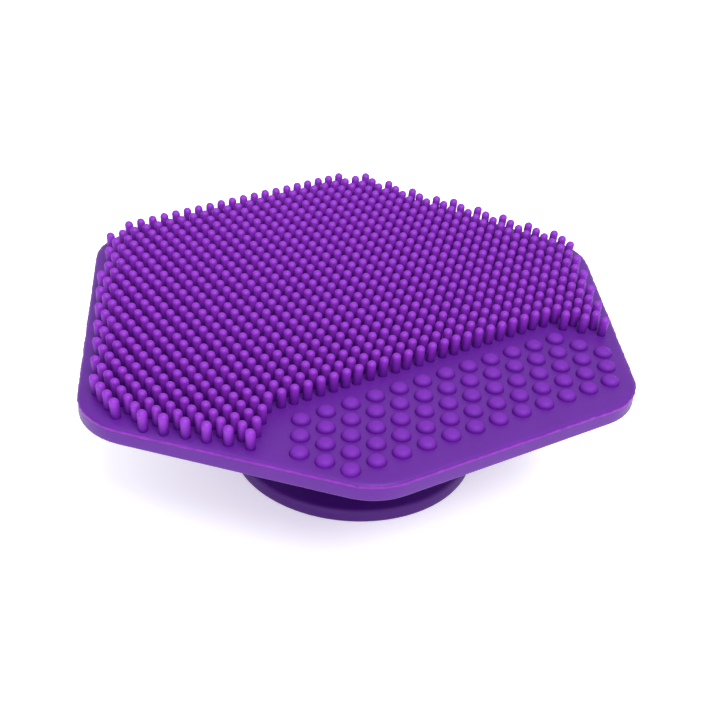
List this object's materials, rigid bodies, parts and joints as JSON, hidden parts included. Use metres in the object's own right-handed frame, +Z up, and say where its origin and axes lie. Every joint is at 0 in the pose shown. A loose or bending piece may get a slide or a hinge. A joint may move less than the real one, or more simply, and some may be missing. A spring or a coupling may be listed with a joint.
{
  "type": "curry comb",
  "caption": "Hand grooming comb: six-sided soft pad with fine bristles and a strip of low massage domes, on a round grip cup that turns in the pad's socket.",
  "frame": {"origin": "centre of the grip cup's flat underside, on the grip's axis", "axes": "+Z up out of the bristles along the grip's axis; the strip of domes lies along the -Y side of the pad; +X to the right seen from -Y"},
  "size_m": [0.1074, 0.0917, 0.0325],
  "materials": {
    "pad_silicone": "satin moulded silicone",
    "bead_silicone": "thin translucent moulding bead",
    "bristle_silicone": "satin moulded silicone",
    "grip_silicone": "satin moulded silicone"
  },
  "bodies": {
    "grip": {"grip_cup": "grip_silicone", "grip_neck": "grip_silicone", "grip_plug": "grip_silicone"},
    "pad": {"pad_plate": "pad_silicone", "parting_bead": "bead_silicone", "bristle_field": "bristle_silicone", "left_bristles": "bristle_silicone", "right_bristles": "bristle_silicone", "guard_bristles": "bristle_silicone", "dome_strip": "pad_silicone", "socket_boss": "pad_silicone"}
  },
  "joints": [
    {"name": "pad_swivel", "type": "hinge", "parent": "grip", "child": "pad", "pos_m": [0, 0, 0.0225], "axis": [0, 0, 1], "continuous": true}
  ]
}
